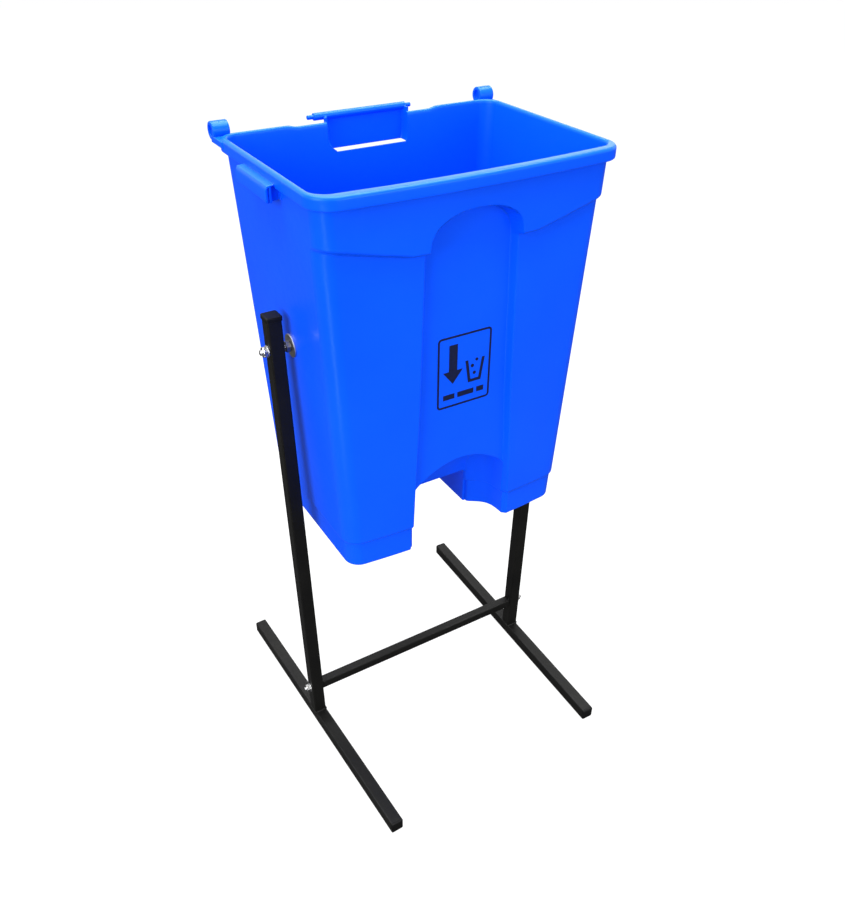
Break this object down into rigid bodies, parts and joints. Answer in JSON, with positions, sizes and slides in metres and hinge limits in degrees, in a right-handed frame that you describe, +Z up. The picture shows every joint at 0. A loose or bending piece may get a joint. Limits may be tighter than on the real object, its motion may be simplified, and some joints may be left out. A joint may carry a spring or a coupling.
{
  "type": "hanging litter bin",
  "caption": "Open moulded litter bin slung on side pivots between the uprights of a square-tube floor stand, so that it tips to empty",
  "frame": {"origin": "on the floor, at the middle of the footprint, under the pivot axis", "axes": "X across the bin from pivot to pivot, -Y towards the bin's front with the foot recess, Z up"},
  "size_m": [0.5964, 0.6578, 1.2084],
  "materials": {
    "blue_plastic": "satin-gloss moulded plastic, saturated blue",
    "black_paint": "satin black paint on square steel tube",
    "black_plastic": "black moulded plastic plug",
    "zinc": "bright zinc plate"
  },
  "bodies": {
    "stand": {"left_upright": "black_paint", "right_upright": "black_paint", "left_runner": "black_paint", "right_runner": "black_paint", "cross_tube": "black_paint", "tie_rod": "zinc", "left_upright_cap": "black_plastic", "right_upright_cap": "black_plastic", "left_runner_front_cap": "black_plastic", "left_runner_rear_cap": "black_plastic", "right_runner_front_cap": "black_plastic", "right_runner_rear_cap": "black_plastic", "left_tie_washer": "zinc", "left_tie_nut": "zinc", "right_tie_washer": "zinc", "right_tie_nut": "zinc"},
    "bin": {"bin_body": "blue_plastic", "left_pivot_bolt": "zinc", "left_inner_washer": "zinc", "left_wall_washer": "zinc", "left_clamp_nut": "zinc", "left_outer_washer": "zinc", "left_lock_nut": "zinc", "right_pivot_bolt": "zinc", "right_inner_washer": "zinc", "right_wall_washer": "zinc", "right_clamp_nut": "zinc", "right_outer_washer": "zinc", "right_lock_nut": "zinc"}
  },
  "joints": [
    {"name": "bin_tilt", "type": "hinge", "parent": "stand", "child": "bin", "pos_m": [0, 0, 0.9], "axis": [1, 0, 0], "range_deg": [-130, 135]}
  ]
}
